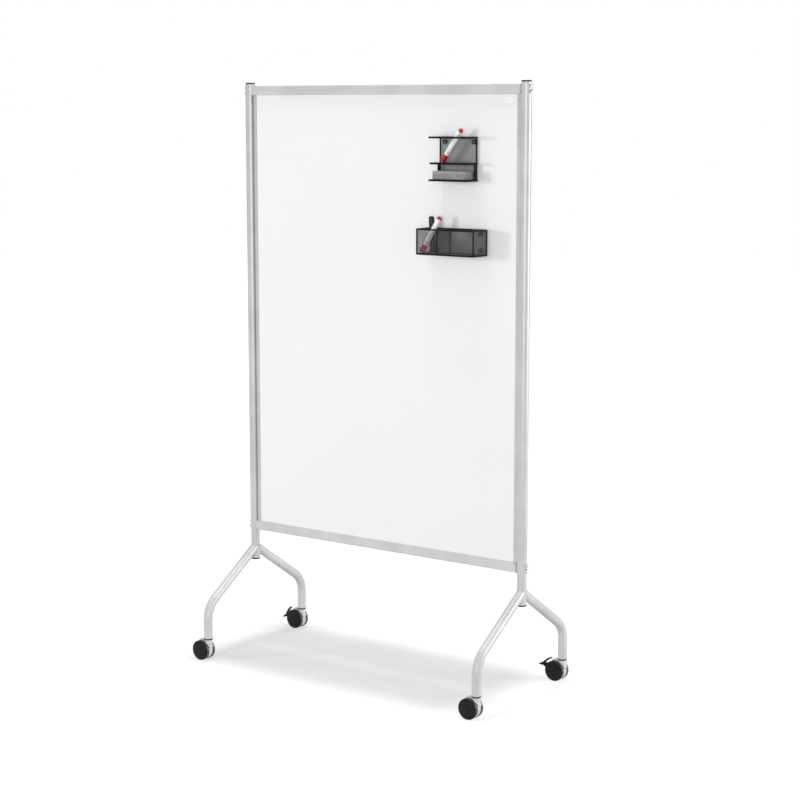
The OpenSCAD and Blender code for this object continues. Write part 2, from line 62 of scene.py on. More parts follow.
# ---------------------------------------------------------------- node helpers
class Mat:
    """A material and the small set of procedural nodes that these finishes use."""

    def __init__(self, name, **values):
        self.m = bpy.data.materials.new(name)
        self.m.use_nodes = True
        self.t = self.m.node_tree
        self.b = next(n for n in self.t.nodes if n.type == "BSDF_PRINCIPLED")
        self.co = self.t.nodes.new("ShaderNodeTexCoord")
        self.normal = None
        for k, v in values.items():
            self.b.inputs[k.replace("_", " ")].default_value = v

    def node(self, kind, **values):
        n = self.t.nodes.new(kind)
        for k, v in values.items():
            setattr(n, k, v)
        return n

    def link(self, a, b):
        self.t.links.new(a, b)
        return b

    def place(self, scale=(1, 1, 1), rot=(0, 0, 0), loc=(0, 0, 0)):
        n = self.node("ShaderNodeMapping")
        n.inputs["Scale"].default_value = scale
        n.inputs["Rotation"].default_value = rot
        n.inputs["Location"].default_value = loc
        self.link(self.co.outputs["Object"], n.inputs["Vector"])
        return n.outputs["Vector"]

    def noise(self, scale, detail=3.0, rough=0.55, vec=None, distort=0.0):
        n = self.node("ShaderNodeTexNoise")
        n.inputs["Scale"].default_value = scale
        n.inputs["Detail"].default_value = detail
        n.inputs["Roughness"].default_value = rough
        n.inputs["Distortion"].default_value = distort
        self.link(vec if vec is not None else self.co.outputs["Object"], n.inputs["Vector"])
        return n.outputs["Fac"]

    def cells(self, scale, vec=None, feature="F1", out="Distance", randomness=1.0):
        n = self.node("ShaderNodeTexVoronoi", feature=feature)
        n.inputs["Scale"].default_value = scale
        n.inputs["Randomness"].default_value = randomness
        self.link(vec if vec is not None else self.co.outputs["Object"], n.inputs["Vector"])
        return n.outputs[out]

    def span(self, fac, lo, hi, a=0.0, b=1.0, smooth=True):
        n = self.node("ShaderNodeMapRange")
        n.interpolation_type = "SMOOTHSTEP" if smooth else "LINEAR"
        n.inputs["From Min"].default_value = lo
        n.inputs["From Max"].default_value = hi
        n.inputs["To Min"].default_value = a
        n.inputs["To Max"].default_value = b
        self.link(fac, n.inputs["Value"])
        return n.outputs["Result"]

    def math(self, op, a, b=None, c=None):
        n = self.node("ShaderNodeMath", operation=op)
        for i, x in enumerate((a, b, c)):
            if x is None:
                continue
            if isinstance(x, (int, float)):
                n.inputs[i].default_value = x
            else:
                self.link(x, n.inputs[i])
        return n.outputs["Value"]

    def mix(self, fac, a, b, mode="MIX"):
        n = self.node("ShaderNodeMix", data_type="RGBA", blend_type=mode)
        if isinstance(fac, (int, float)):
            n.inputs[0].default_value = fac
        else:
            self.link(fac, n.inputs[0])
        for i, x in ((6, a), (7, b)):
            if isinstance(x, (tuple, list)):
                n.inputs[i].default_value = (*x[:3], 1)
            else:
                self.link(x, n.inputs[i])
        return n.outputs[2]

    def colour(self, out):
        self.link(out, self.b.inputs["Base Color"])

    def rough(self, out):
        self.link(out, self.b.inputs["Roughness"])

    def bump(self, height, strength, distance):
        n = self.node("ShaderNodeBump")
        n.inputs["Strength"].default_value = strength
        n.inputs["Distance"].default_value = distance
        self.link(height, n.inputs["Height"])
        if self.normal is not None:
            self.link(self.normal, n.inputs["Normal"])
        self.normal = n.outputs["Normal"]
        self.link(self.normal, self.b.inputs["Normal"])

    def axis(self, which, source="Object"):
        n = self.node("ShaderNodeSeparateXYZ")
        self.link(self.co.outputs[source], n.inputs[0])
        return n.outputs[which]


def paint(name, base, metallic, r0, r1, streak=0.0):
    """Metallic powder coat: fine flake grain, a soft cloudiness, and a slightly uneven gloss."""
    p = Mat(name, Metallic=metallic, IOR=1.5)
    p.b.inputs["Coat Weight"].default_value = 0.08
    p.b.inputs["Coat Roughness"].default_value = 0.30
    flake = p.cells(2600)
    cloud = p.noise(9, 3, 0.5)
    fine = p.noise(1500, 2, 0.6)
    dark = tuple(c * 0.90 for c in base)
    light = tuple(min(1, c * 1.06) for c in base)
    c = p.mix(p.span(cloud, 0.3, 0.7), dark, light)
    c = p.mix(p.span(flake, 0.15, 0.6, 0.0, 0.16), c, tuple(c0 * 0.72 for c0 in base))
    p.colour(c)
    p.rough(p.math("ADD", p.span(cloud, 0.25, 0.75, r0, r1), p.span(fine, 0.3, 0.7, -0.03, 0.03)))
    p.bump(fine, 0.10, 0.0002)
    p.bump(p.noise(160, 2, 0.5), 0.05, 0.0006)
    return p


def plastic(name, base, r0, r1, grain=1400, depth=0.12, spec=0.5, metallic=0.0, coat=0.0):
    """Moulded plastic: fine spark-eroded grain and a faint flow cloudiness."""
    p = Mat(name, Metallic=metallic)
    p.b.inputs["Specular IOR Level"].default_value = spec
    p.b.inputs["Coat Weight"].default_value = coat
    p.b.inputs["Coat Roughness"].default_value = 0.08
    cloud = p.noise(38, 4, 0.6)
    fine = p.noise(grain, 3, 0.65)
    c = p.mix(p.span(cloud, 0.3, 0.7), tuple(c * 0.86 for c in base), tuple(min(1, c * 1.12) for c in base))
    c = p.mix(p.span(fine, 0.45, 0.75, 0, 0.25), c, tuple(min(1, c0 * 1.35) for c0 in base))
    p.colour(c)
    p.rough(p.math("ADD", p.span(cloud, 0.3, 0.7, r0, r1), p.span(fine, 0.3, 0.7, -0.04, 0.04)))
    p.bump(fine, depth, 0.0002)
    return p


M = {}
# the legs carry a copy of the tube paint and the rails a copy of the profile paint, each with a lighter base as
# painted light
M["painted_tube"] = paint("painted_tube", (0.57, 0.57, 0.562), 0.2, 0.40, 0.48)
M["painted_leg_lit_copy"] = paint("painted_leg_lit_copy", (0.60, 0.60, 0.585), 0.15, 0.42, 0.50)
M["painted_rail_lit_copy"] = paint("painted_rail_lit_copy", (0.60, 0.60, 0.592), 0.15, 0.34, 0.42)
M["painted_profile"] = paint("painted_profile", (0.545, 0.545, 0.538), 0.2, 0.34, 0.42)
# the shut line between each round profile and its board channel, darkened in the base colour as painted shade in that
# crease
p = M["painted_profile"]
blo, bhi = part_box("corner_badge")
seams = []
for side, s_ in (("left", 1), ("right", -1)):
    a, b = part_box(side + "_upright_tube")
    seams.append((a.x + b.x) / 2 + s_ * 14.6 * MM)
near = p.math("MINIMUM", p.math("ABSOLUTE", p.math("SUBTRACT", p.axis(0), seams[0])),
              p.math("ABSOLUTE", p.math("SUBTRACT", p.axis(0), seams[1])))
# painted shade: a dark band about 2 mm wide along each shut line, mixed into the profile colour
line = p.span(near, 0.7 * MM, 2.2 * MM, 1.0, 0.0)
shade = p.mix(p.math("MULTIPLY", line, 0.5), p.b.inputs["Base Color"].links[0].from_socket, (0.10, 0.10, 0.10))
p.colour(shade)
M["end_piece_plastic"] = plastic("end_piece_plastic", (0.50, 0.50, 0.49), 0.38, 0.5, metallic=0.2)
M["black_plastic"] = plastic("black_plastic", (0.010, 0.010, 0.011), 0.30, 0.42, spec=0.25)
M["badge_plastic"] = plastic("badge_plastic", (0.86, 0.86, 0.85), 0.28, 0.36)
M["hood_plastic"] = plastic("hood_plastic", (0.60, 0.605, 0.615), 0.3, 0.4, grain=1100, depth=0.10, metallic=0.25)
M["black_powder_coat"] = plastic("black_powder_coat", (0.006, 0.006, 0.007), 0.28, 0.4, grain=1700, depth=0.2, spec=0.14)
M["black_steel_mesh"] = plastic("black_steel_mesh", (0.068, 0.066, 0.073), 0.38, 0.5, grain=2400, depth=0.15, spec=0.4)
M["magnet_dark"] = plastic("magnet_dark", (0.012, 0.012, 0.013), 0.42, 0.55, grain=1900, depth=0.2, spec=0.3)
M["marker_white"] = plastic("marker_white", (0.88, 0.88, 0.88), 0.22, 0.30, grain=700, depth=0.02, coat=0.2)
M["marker_red"] = plastic("marker_red", (0.53, 0.008, 0.018), 0.22, 0.30, grain=900, depth=0.04, coat=0.2)
M["marker_black"] = plastic("marker_black", (0.007, 0.007, 0.008), 0.20, 0.30, grain=900, depth=0.05, spec=0.3, coat=0.08)

# zinc-plated steel
z = Mat("bolt_steel", Metallic=1.0)
cloud, fine = z.noise(420, 4, 0.6), z.noise(2600, 2, 0.5)
z.colour(z.mix(z.span(cloud, 0.3, 0.7), (0.42, 0.42, 0.43), (0.68, 0.68, 0.69)))
z.rough(z.span(fine, 0.3, 0.7, 0.26, 0.42))
z.bump(z.noise(900, 3, 0.6), 0.12, 0.0002)
M["bolt_steel"] = z

# coated core board, seen only at the notches
c = Mat("panel_core_board", Roughness=0.8)
c.colour(c.mix(c.span(c.noise(900, 5, 0.7), 0.3, 0.7), (0.30, 0.24, 0.17), (0.52, 0.44, 0.33)))
c.bump(c.noise(1600, 4, 0.7), 0.4, 0.0004)
M["panel_core_board"] = c

# enamelled steel sheet: hard gloss, faint wiping haze, slight ripple of the enamel
w = Mat("white_steel")
w.b.inputs["Specular IOR Level"].default_value = 0.35
w.b.inputs["Coat Weight"].default_value = 0.10
w.b.inputs["Coat Roughness"].default_value = 0.10
wipe = w.noise(5, 5, 0.6, vec=w.place(scale=(1.0, 1.0, 4.5), rot=(0, 0.5, 0)), distort=0.6)
haze = w.noise(2.2, 3, 0.5)
c = w.mix(w.span(haze, 0.25, 0.75), (0.835, 0.838, 0.850), (0.850, 0.853, 0.862))
c = w.mix(w.span(wipe, 0.55, 0.85, 0, 0.25), c, (0.825, 0.83, 0.845))
w.colour(c)
w.rough(w.math("ADD", w.span(wipe, 0.3, 0.75, 0.215, 0.245), w.span(haze, 0.3, 0.7, -0.02, 0.02)))
w.bump(w.noise(420, 2, 0.5), 0.03, 0.0002)
M["white_steel"] = w

# wheels: glossy faces, duller scuffed treads
def wheel_coat(name, spec, worn):
    p = Mat(name)
    p.b.inputs["Specular IOR Level"].default_value = spec
    p.b.inputs["Coat Weight"].default_value = 0.04
    p.b.inputs["Coat Roughness"].default_value = 0.06
    scuff = p.noise(260, 6, 0.7)
    cloud = p.noise(60, 3, 0.5)
    c = p.mix(p.span(cloud, 0.3, 0.7), (0.005, 0.0045, 0.006), (0.009, 0.0085, 0.011))
    c = p.mix(p.span(scuff, 0.35, 0.75, 0.05 * worn, 0.5 * worn), c, (0.060, 0.058, 0.058))
    p.colour(c)
    p.rough(p.math("ADD", p.span(cloud, 0.3, 0.7, 0.16, 0.24), p.span(scuff, 0.3, 0.7, 0.10 * worn, 0.26 * worn)))
    p.bump(scuff, 0.04 + 0.2 * worn, 0.0004)
    p.bump(p.noise(900, 2, 0.5), 0.03, 0.0002)
    return p


M["wheel_plastic"] = wheel_coat("wheel_plastic", 0.15, 0.0)
M["wheel_tread"] = wheel_coat("wheel_tread", 0.95, 1.0)

# pressed wool felt
f = Mat("grey_felt", Roughness=0.95)
f.b.inputs["Sheen Weight"].default_value = 0.5
f.b.inputs["Sheen Roughness"].default_value = 0.5
fib = f.noise(700, 8, 0.75, vec=f.place(scale=(1, 1, 2.6)), distort=1.4)
lump = f.noise(120, 4, 0.6)
c = f.mix(f.span(fib, 0.3, 0.7), (0.17, 0.17, 0.166), (0.44, 0.44, 0.43))
c = f.mix(f.span(lump, 0.5, 0.8, 0, 0.4), c, (0.20, 0.20, 0.195))
c = f.mix(f.span(f.noise(330, 3, 0.6), 0.38, 0.62, 0.0, 0.55), c, (0.085, 0.085, 0.083))
f.colour(c)
f.bump(fib, 0.7, 0.0008)
f.bump(lump, 0.4, 0.0012)
M["grey_felt"] = f

# fine closed-cell foam back of the eraser
f = Mat("eraser_foam", Roughness=0.8)
f.b.inputs["Sheen Weight"].default_value = 0.25
cell = f.cells(1500)
cloud = f.noise(90, 4, 0.6)
c = f.mix(f.span(cell, 0.1, 0.7), (0.20, 0.20, 0.196), (0.42, 0.42, 0.41))
c = f.mix(f.span(cloud, 0.4, 0.8, 0, 0.4), c, (0.22, 0.22, 0.215))
c = f.mix(f.span(f.noise(330, 3, 0.6), 0.38, 0.62, 0.0, 0.5), c, (0.10, 0.10, 0.098))
f.colour(c)
f.bump(cell, 0.5, 0.0004)
M["eraser_foam"] = f

# ---------------------------------------------------------------- node finishes
FINISH = {
    "left_upright_tube": "painted_tube", "right_upright_tube": "painted_tube",
    "left_side_profile": "painted_profile", "right_side_profile": "painted_profile",
    "top_rail": "painted_rail_lit_copy", "bottom_rail": "painted_rail_lit_copy",
    "rail_end_brackets": "end_piece_plastic", "rail_bolts": "bolt_steel",
    "upright_end_caps": "black_plastic",
    "left_front_leg": "painted_leg_lit_copy", "left_rear_leg": "painted_leg_lit_copy",
    "right_front_leg": "painted_leg_lit_copy", "right_rear_leg": "painted_leg_lit_copy",
    "panel_core": "panel_core_board", "front_writing_sheet": "white_steel",
    "back_writing_sheet": "white_steel", "corner_badge": "badge_plastic",
    "caster_sockets": "black_plastic", "caster_stems": "bolt_steel",
    "shelf_back_frame": "black_powder_coat", "shelf_back_mesh": "black_steel_mesh",
    "shelf_top_tier": "black_powder_coat", "shelf_middle_tier": "black_powder_coat",
    "shelf_bottom_tier": "black_powder_coat", "shelf_magnets": "magnet_dark",
    "eraser_body": "eraser_foam", "eraser_felt": "grey_felt",
    "shelf_marker_barrel": "marker_white", "shelf_marker_cap": "marker_red", "shelf_marker_plug": "marker_red",
    "tray_frame": "black_powder_coat", "tray_basket": "black_steel_mesh",
    "tray_divider": "black_steel_mesh", "tray_magnets": "magnet_dark",
    "red_marker_barrel": "marker_white", "red_marker_cap": "marker_red", "red_marker_plug": "marker_red",
    "black_marker_barrel": "marker_black", "black_marker_cap": "marker_black",
}
for corner in ("front_left", "front_right", "rear_left", "rear_right"):
    FINISH[corner + "_hood"] = "hood_plastic"
    FINISH[corner + "_axle"] = "bolt_steel"
    FINISH[corner + "_wheel_outer"] = FINISH[corner + "_wheel_inner"] = "wheel_plastic"
for side in ("rear_left", "rear_right"):
    FINISH[side + "_brake_lever"] = "black_plastic"
    FINISH[side + "_brake_pin"] = "bolt_steel"


def give(o, finish):
    o.data.materials.clear()
    o.data.materials.append(M[finish].m)
    for p in o.data.polygons:
        p.material_index = 0


for n, o in N.items():
    give(o, FINISH[n])
    if "_wheel_" in n:
        o.data.materials.append(M["wheel_tread"].m)
        for p in o.data.polygons:
            p.material_index = 1 if abs(p.normal.y) < 0.5 else 0


# pressed and moulded edges are not knife-sharp
for n, r in (("shelf_top_tier", 0.5), ("shelf_middle_tier", 0.5), ("shelf_bottom_tier", 0.5), ("caster_sockets", 0.4),
             ("upright_end_caps", 0.5), ("rear_left_brake_lever", 0.5), ("rear_right_brake_lever", 0.5), ("corner_badge", 0.2),
             ("top_rail", 0.35), ("bottom_rail", 0.35), ("front_left_hood", 0.5), ("front_right_hood", 0.5),
             ("rear_left_hood", 0.5), ("rear_right_hood", 0.5)):
    b = N[n].modifiers.new("soft_edge", "BEVEL")
    b.width = r * MM
    b.segments = 2
    b.limit_method = "ANGLE"
    b.angle_limit = math.radians(50)
    b.use_clamp_overlap = True

# ---------------------------------------------------------------- mesh helpers
def obj(name, bm, body, slot, smooth=True):
    me = bpy.data.meshes.new(name)
    bmesh.ops.recalc_face_normals(bm, faces=bm.faces)
    for f in bm.faces:
        f.smooth = smooth
    bm.to_mesh(me)
    bm.free()
    o = bpy.data.objects.new(name, me)
    bpy.context.scene.collection.objects.link(o)
    give(o, slot)
    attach(o, body)
    return o


def strand(bm, a, b, u, v, hu, hv):
    """A flat strip of metal from a to b; u is across it, v through it."""
    vs = []
    for p in (a, b):
        for su, sv in ((-1, -1), (1, -1), (1, 1), (-1, 1)):
            vs.append(bm.verts.new(p + u * (su * hu) + v * (sv * hv)))
    for i in range(4):
        j = (i + 1) % 4
        bm.faces.new((vs[i], vs[j], vs[4 + j], vs[4 + i]))
    bm.faces.new(vs[3::-1])
    bm.faces.new(vs[4:])


def clip(p, d, w, h):
    """The stretch of the line p + t d inside the rectangle 0..w, 0..h, or None."""
    lo, hi = -1e9, 1e9
    for x, k, top in ((p[0], d[0], w), (p[1], d[1], h)):
        if abs(k) < 1e-12:
            if not 0 <= x <= top:
                return None
            continue
        a, b = sorted(((0 - x) / k, (top - x) / k))
        lo, hi = max(lo, a), min(hi, b)
    return (lo, hi) if hi - lo > 1e-6 else None


def metal_mesh(bm, o, ux, uy, w, h, pitch=1.75, width=0.36, thick=0.20, slant=35.0, holes=()):
    """Expanded-metal look: two slanting families of flat strands that meet in diamonds. Lengths in mm, o in metres."""
    n = ux.cross(uy).normalized()
    for fam, sgn in ((0, 1), (1, -1)):
        a = math.radians(slant) * sgn
        d = (math.cos(a), math.sin(a))
        q = (-d[1], d[0])
        corners = [q[0] * x + q[1] * y for x in (0, w) for y in (0, h)]
        k0, k1 = math.ceil(min(corners) / pitch), math.floor(max(corners) / pitch)
        off = n * ((0.09 if fam else -0.09) * MM)
        for k in range(k0, k1 + 1):
            p = (q[0] * k * pitch, q[1] * k * pitch)
            c = clip(p, d, w, h)
            if c is None:
                continue
            cuts = [c]
            for hx, hy, hr in holes:
                t = (hx - p[0]) * d[0] + (hy - p[1]) * d[1]
                g = hr * hr - ((p[0] + t * d[0] - hx) ** 2 + (p[1] + t * d[1] - hy) ** 2)
                if g <= 0:
                    continue
                g = math.sqrt(g)
                new = []
                for lo, hi in cuts:
                    if t - g > lo:
                        new.append((lo, min(hi, t - g)))
                    if t + g < hi:
                        new.append((max(lo, t + g), hi))
                cuts = [x for x in new if x[1] - x[0] > 0.2]
            for lo, hi in cuts:
                pa = o + ux * ((p[0] + lo * d[0]) * MM) + uy * ((p[1] + lo * d[1]) * MM) + off
                pb = o + ux * ((p[0] + hi * d[0]) * MM) + uy * ((p[1] + hi * d[1]) * MM) + off
                across = (ux * q[0] + uy * q[1]).normalized()
                strand(bm, pa, pb, across, n, width * MM / 2, thick * MM / 2)


X, Y, Z = Vector((1, 0, 0)), Vector((0, 1, 0)), Vector((0, 0, 1))


def centres(node, r):
    """Centres, along X and Z, of a node's four round pieces of radius r (metres)."""
    lo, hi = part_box(node)
    return [(x, z) for x in (lo.x + r, hi.x - r) for z in (lo.z + r, hi.z - r)]


# ---------------------------------------------------------------- wire mesh
def holes_in(spots, x0, z0, r=4.6):
    return [((x - x0) / MM, (z - z0) / MM, r) for x, z in spots]


blo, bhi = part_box("shelf_back_mesh")
mlo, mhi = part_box("shelf_middle_tier")
spots = centres("shelf_magnets", 7 * MM)
bm = bmesh.new()
yb = (blo.y + bhi.y) / 2
for z0, z1 in ((blo.z, mlo.z + 0.0006), (mhi.z - 0.0006, bhi.z)):
    x0 = blo.x - 0.0008
    w = (bhi.x - blo.x + 0.0016) / MM
    metal_mesh(bm, V(x0, yb, z0 - 0.0005), X, Z, w, (z1 - z0 + 0.001) / MM, holes=holes_in(spots, x0, z0 - 0.0005))
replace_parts(obj("shelf_back_weave", bm, "upper_organizer", "black_steel_mesh", smooth=False), "shelf_back_mesh")

flo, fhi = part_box("tray_frame")
R = 2.5 * MM
x0, x1, y0, y1, z0, z1 = flo.x + R, fhi.x - R, flo.y + R, fhi.y - R, flo.z + R, fhi.z - R
dlo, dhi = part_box("tray_divider")
xd = (dlo.x + dhi.x) / 2
g = 1.6 * MM
spots = centres("tray_magnets", 7 * MM)
bm = bmesh.new()
for y in (y0, y1):
    for a, b in ((x0, xd), (xd, x1)):
        metal_mesh(bm, V(a + g, y, z0 + g), X, Z, (b - a - 2 * g) / MM, (z1 - z0 - 2 * g) / MM,
                   holes=holes_in(spots, a + g, z0 + g) if y == y1 else ())
for a, b in ((x0, xd), (xd, x1)):
    metal_mesh(bm, V(a + g, y0 + g, z0), X, Y, (b - a - 2 * g) / MM, (y1 - y0 - 2 * g) / MM)
for x in (x0, x1):
    metal_mesh(bm, V(x, y0 + g, z0 + g), Y, Z, (y1 - y0 - 2 * g) / MM, (z1 - z0 - 2 * g) / MM)
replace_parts(obj("tray_weave", bm, "lower_organizer", "black_steel_mesh", smooth=False), "tray_basket")
bm = bmesh.new()
metal_mesh(bm, V(xd, y0 + g, z0 + g), Y, Z, (y1 - y0 - 2 * g) / MM, (z1 - z0 - 2 * g) / MM)
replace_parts(obj("tray_divider_weave", bm, "lower_organizer", "black_steel_mesh", smooth=False), "tray_divider")


# ---------------------------------------------------------------- lofts and lathes
def outline(w, d, r, parts, n=6):
    """Rounded rectangle round the origin, anticlockwise, its straight sides divided into parts (along X, along Y)."""
    pts = []
    for cx, cy, a0 in ((w / 2 - r, d / 2 - r, 0), (r - w / 2, d / 2 - r, 90), (r - w / 2, r - d / 2, 180), (w / 2 - r, r - d / 2, 270)):
        for i in range(n + 1):
            a = math.radians(a0 + 90 * i / n)
            pts.append((cx + r * math.cos(a), cy + r * math.sin(a)))
    out = []
    for i, p in enumerate(pts):
        q = pts[(i + 1) % len(pts)]
        out.append(p)
        k = parts[i // (n + 1) % 2] if i % (n + 1) == n else 1
        for j in range(1, k):
            out.append((p[0] + (q[0] - p[0]) * j / k, p[1] + (q[1] - p[1]) * j / k))
    return out


def loft(bm, rings, cap=True):
    vs = [[bm.verts.new(p) for p in ring] for ring in rings]
    for a, b in zip(vs, vs[1:]):
        for i in range(len(a)):
            j = (i + 1) % len(a)
            bm.faces.new((a[i], a[j], b[j], b[i]))
    if cap:
        bm.faces.new(vs[0][::-1])
        bm.faces.new(vs[-1])


def block(bm, cx, cy, w, d, r, profile, wave=None):
    """Rounded block built up from (height, inset) pairs; wave(x, y, z) moves a point outwards."""
    rings = []
    parts = (int((w - 2 * r) / (6 * MM)), int((d - 2 * r) / (6 * MM)))
    for z, inset in profile:
        ring = []
        for x, y in outline(w - 2 * inset, d - 2 * inset, max(r - inset, 0.4 * MM), parts):
            k = 0.0 if wave is None else wave(x, y, z)
            l = math.hypot(x, y)
            ring.append(V(cx + x * (1 + k / l), cy + y * (1 + k / l), z))
        rings.append(ring)
    loft(bm, rings)


def lathe(bm, prof, n=48, flutes=None, mat=Matrix.Identity(4)):
    """Turned piece about Z from (radius, height) pairs in mm; flutes(h, angle) takes mm off the radius."""
    rings, tips = [], []
    for r, h in prof:
        if r < 1e-6:
            tips.append((len(rings), h))
            continue
        ring = []
        for i in range(n):
            a = 2 * math.pi * i / n
            q = r - (flutes(h, a) if flutes else 0)
            ring.append(mat @ V(q * math.cos(a) * MM, q * math.sin(a) * MM, h * MM))
        rings.append(ring)
    vs = [[bm.verts.new(p) for p in ring] for ring in rings]
    for a, b in zip(vs, vs[1:]):
        for i in range(n):
            j = (i + 1) % n
            bm.faces.new((a[i], a[j], b[j], b[i]))
    for k, h in tips:
        tip = bm.verts.new(mat @ V(0, 0, h * MM))
        ring = vs[0] if k == 0 else vs[-1]
        for i in range(n):
            j = (i + 1) % n
            bm.faces.new((tip, ring[j], ring[i]) if k == 0 else (tip, ring[i], ring[j]))


# ---------------------------------------------------------------- eraser
elo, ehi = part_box("eraser_felt")
tlo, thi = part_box("eraser_body")
cx, cy = (elo.x + ehi.x) / 2, (elo.y + ehi.y) / 2
w, d, r = ehi.x - elo.x, ehi.y - elo.y, 3.2 * MM


def soft(x, y, z):
    return (0.22 * math.sin(x * 310 + z * 500) + 0.18 * math.sin(y * 420 - z * 260 + x * 90)) * MM


prof = [(elo.z, 3.2 * MM), (elo.z + 0.3 * MM, 1.9 * MM), (elo.z + 1.0 * MM, 0.9 * MM), (elo.z + 2.2 * MM, 0.3 * MM)]
for k in range(3):
    base = elo.z + (2.6 + 3.8 * k) * MM
    prof += [(base, 0.12 * MM), (base + 1.7 * MM, 0.02 * MM), (base + 3.2 * MM, 0.12 * MM),
             (base + 3.5 * MM, 0.5 * MM), (base + 3.65 * MM, 0.5 * MM)]
prof += [(ehi.z - 0.05 * MM, 0.3 * MM)]
bm = bmesh.new()
block(bm, cx, cy, w - 0.6 * MM, d - 0.6 * MM, r, prof, soft)
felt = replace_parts(obj("eraser_felt_pad", bm, "eraser", "grey_felt"), "eraser_felt")
bm = bmesh.new()
prof = [(tlo.z, 0.3 * MM), (tlo.z + 0.2 * MM, 0.05 * MM), (tlo.z + 4.6 * MM, 0.0), (thi.z - 3.2 * MM, 0.1 * MM),
        (thi.z - 1.6 * MM, 0.5 * MM), (thi.z - 0.7 * MM, 1.2 * MM), (thi.z - 0.15 * MM, 2.2 * MM), (thi.z, 3.6 * MM)]
block(bm, cx, cy, thi.x - tlo.x - 0.2 * MM, thi.y - tlo.y - 0.2 * MM, r - 0.8 * MM, prof)
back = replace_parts(obj("eraser_foam_back", bm, "eraser", "eraser_foam"), "eraser_body")

# ---------------------------------------------------------------- markers
ink = plastic("marker_dot_ink", (0.012, 0.012, 0.013), 0.3, 0.4, grain=1600, depth=0.04)
M["marker_dot_ink"] = ink


def stand(e, tilt):
    """Frame of a marker that stands on e (mm), tilted about X, then about Y (degrees)."""
    return (Matrix.Translation(V(*e) * MM) @ Matrix.Rotation(math.radians(tilt[1]), 4, "Y")
            @ Matrix.Rotation(math.radians(tilt[0]), 4, "X"))


def ribs(h0, h1, count, depth):
    def off(h, a):
        if h < h0 or h > h1:
            return 0.0
        return depth * (0.5 + 0.5 * math.cos(count * a)) ** 2
    return off


def arc(cr, ch, r, a0, a1, n=6):
    return [(cr + r * math.cos(math.radians(a0 + (a1 - a0) * i / n)), ch + r * math.sin(math.radians(a0 + (a1 - a0) * i / n)))
            for i in range(n + 1)]


def turned(name, node, body, slot, mat, prof, flutes=None, n=144):
    bm = bmesh.new()
    lathe(bm, prof, n, flutes, mat)
    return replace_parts(obj(name, bm, body, slot), node)


def dome_cap(c):
    """Marker cap, closed end at 0, mouth at c."""
    return ([(0.0, 0.35), (3.4, 0.3), (3.8, 0.0)] + arc(6.6, 1.6, 1.6, -90, 0, 5)
            + [(8.2, 2.6), (8.2, 3.0), (8.2, c - 5.4), (8.2, c - 5.0), (8.0, c - 4.6), (8.0, c - 4.1), (8.2, c - 3.7),
               (8.2, c - 0.5), (8.05, c - 0.1), (7.75, c), (0.0, c)])


def marker(prefix, body, e, tilt, l, c, p, plug=True):
    mat = stand(e, tilt)
    turned(prefix + "_cap_ribbed", prefix + "_cap", body, "marker_red", mat, dome_cap(c), ribs(2.9, c - 5.2, 24, 0.34))
    turned(prefix + "_barrel_tube", prefix + "_barrel", body, "marker_white", mat,
           [(0.0, c - 0.3), (7.4, c - 0.3), (7.72, c), (7.8, c + 0.4), (7.8, c + 5.2), (7.74, c + 5.4), (7.74, c + 5.6), (7.8, c + 5.8),
            (7.8, l - p - 0.7), (7.7, l - p - 0.25), (7.5, l - p - 0.1), (0.0, l - p - 0.1)])
    turned(prefix + "_tail_plug", prefix + "_plug", body, "marker_red", mat,
           [(0.0, l - p - 0.3), (7.3, l - p - 0.3), (7.3, l - p + 0.1), (7.6, l - p + 0.5), (7.6, l - p + 2.6)]
           + [(7.6 * math.cos(math.radians(t)), l - p + 3 + (p - 3) * math.sin(math.radians(t))) for t in range(6, 84, 6)]
           + [(1.6, l - 0.05), (1.2, l - 0.5), (0.0, l - 0.6)])
    # printed dot near the cap
    a = math.radians(40)
    spot = Matrix.Translation(V(0, 0, (c + 9.0) * MM)) @ Matrix.Rotation(a, 4, "Z") @ Matrix.Rotation(math.pi / 2, 4, "X")
    bm = bmesh.new()
    lathe(bm, [(0.0, 6.6), (1.9, 6.6), (1.9, 7.66), (1.5, 7.80), (0.7, 7.86), (0.0, 7.88)], 32, None, mat @ spot)
    obj(prefix + "_dot", bm, body, "marker_dot_ink")


CX = 29.7625
marker("shelf_marker", "upper_red_marker", (CX + 250.4, -35.6, 1596.2), (0, 36), 116, 23, 10)
marker("red_marker", "lower_red_marker", (CX + 198.0, -67.6, 1327.7), (-15.1, 23.7), 119, 24, 10)
mat = stand((CX + 210.0, -24.1, 1324.7), (0, -4))
l, c = 108.5, 36
turned("black_marker_barrel_tube", "black_marker_barrel", "lower_black_marker", "marker_black", mat,
       [(0.0, 0.4), (5.4, 0.3), (5.8, 0.0)] + arc(6.4, 1.4, 1.4, -90, 0, 4)
       + [(7.8, 3.0), (7.8, 8.0), (7.55, 8.3), (7.55, 8.8), (7.8, 9.1), (7.8, l - c + 0.2), (0.0, l - c + 0.2)])
turned("black_marker_cap_ribbed", "black_marker_cap", "lower_black_marker", "marker_black", mat,
       [(0.0, l - c), (7.75, l - c), (8.05, l - c + 0.1), (8.2, l - c + 0.5), (8.2, l - c + 4.0), (8.0, l - c + 4.4), (8.0, l - c + 4.9),
        (8.2, l - c + 5.3), (8.2, l - c + 5.6), (8.2, l - 7.4), (8.2, l - 6.9)] + arc(2.2, l - 6.0, 6.0, 0, 84, 12)[1:]
       + [(1.6, l - 0.06), (0.0, l - 0.04)],
       ribs(l - c + 5.5, l - 7.2, 24, 0.3))

